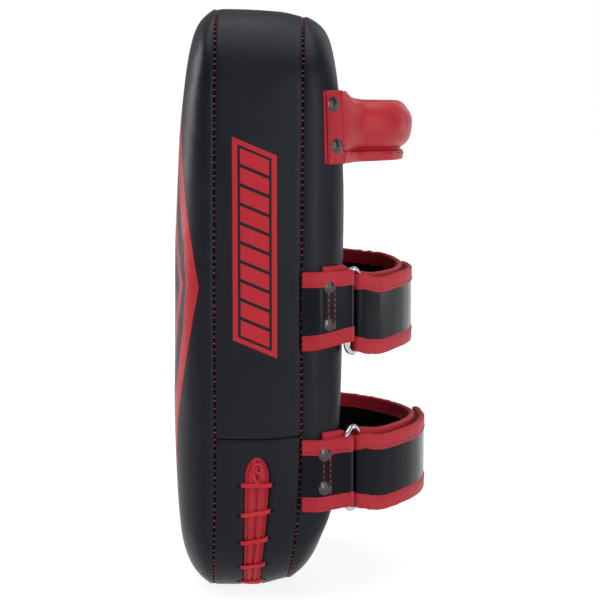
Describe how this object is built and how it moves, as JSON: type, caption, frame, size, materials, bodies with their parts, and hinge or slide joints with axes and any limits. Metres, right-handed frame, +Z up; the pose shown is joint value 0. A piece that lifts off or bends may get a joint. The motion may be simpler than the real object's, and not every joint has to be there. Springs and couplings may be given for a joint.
{
  "type": "thai pad",
  "caption": "Stuffed leather Thai kick pad with a padded grip, two forearm straps that fold back through wire rings, and a laced base.",
  "frame": {"origin": "middle of the flat base between the two long seams, on the surface that the pad stands on", "axes": "+Z up along the pad, -Y out of the striking face, +Y out of the back with the straps, +X towards the strap rings"},
  "size_m": [0.2083, 0.1778, 0.4],
  "materials": {
    "black_leather": "smooth semi-gloss",
    "red_leather": "smooth semi-gloss",
    "lace_leather": "satin",
    "backing_leather": "raw",
    "inner_foam": "foam",
    "hook_tape": "hook and loop tape",
    "ring_metal": "polished",
    "rivet_metal": "polished"
  },
  "bodies": {
    "root": {"front_panel": "black_leather", "back_panel": "black_leather", "side_gusset": "black_leather", "base_gusset": "black_leather", "foam_strike_layer": "inner_foam", "foam_middle_layer": "inner_foam", "foam_back_layer": "inner_foam", "slot_binding": "red_leather", "slot_tongue": "red_leather", "lace": "lace_leather", "handle_tab_near": "red_leather", "handle_tab_far": "red_leather", "handle_rivets": "rivet_metal", "handle_backing": "backing_leather", "upper_tab": "black_leather", "upper_tab_binding": "red_leather", "upper_tab_rivets": "rivet_metal", "upper_strap": "black_leather", "upper_strap_binding": "red_leather", "upper_loop_patch": "hook_tape", "upper_far_rivets": "rivet_metal", "lower_tab": "black_leather", "lower_tab_binding": "red_leather", "lower_tab_rivets": "rivet_metal", "lower_strap": "black_leather", "lower_strap_binding": "red_leather", "lower_loop_patch": "hook_tape", "lower_far_rivets": "rivet_metal"},
    "handle": {"handle_core": "inner_foam", "handle_cover": "red_leather"},
    "upper_ring": {"upper_ring": "ring_metal", "upper_strap_fold": "black_leather"},
    "upper_flap": {"upper_flap": "black_leather", "upper_flap_binding": "red_leather", "upper_hook_patch": "hook_tape"},
    "lower_ring": {"lower_ring": "ring_metal", "lower_strap_fold": "black_leather"},
    "lower_flap": {"lower_flap": "black_leather", "lower_flap_binding": "red_leather", "lower_hook_patch": "hook_tape"}
  },
  "joints": [
    {"name": "handle_tilt", "type": "hinge", "parent": "root", "child": "handle", "pos_m": [0, 0.0616, 0.3218], "axis": [1, 0, 0], "range_deg": [-15, 15], "stiffness_Nm_per_rad": 1.5},
    {"name": "upper_ring_swing", "type": "hinge", "parent": "root", "child": "upper_ring", "pos_m": [0.09046, 0.05888, 0.198], "axis": [0, 0, -1], "range_deg": [0, 10]},
    {"name": "upper_flap_open", "type": "hinge", "parent": "upper_ring", "child": "upper_flap", "pos_m": [0.07971, 0.07008, 0.194], "axis": [0, 0, -1], "range_deg": [0, 90]},
    {"name": "lower_ring_swing", "type": "hinge", "parent": "root", "child": "lower_ring", "pos_m": [0.09046, 0.05888, 0.0905], "axis": [0, 0, -1], "range_deg": [0, 10]},
    {"name": "lower_flap_open", "type": "hinge", "parent": "lower_ring", "child": "lower_flap", "pos_m": [0.08009, 0.06959, 0.085], "axis": [0, 0, -1], "range_deg": [0, 90]}
  ]
}
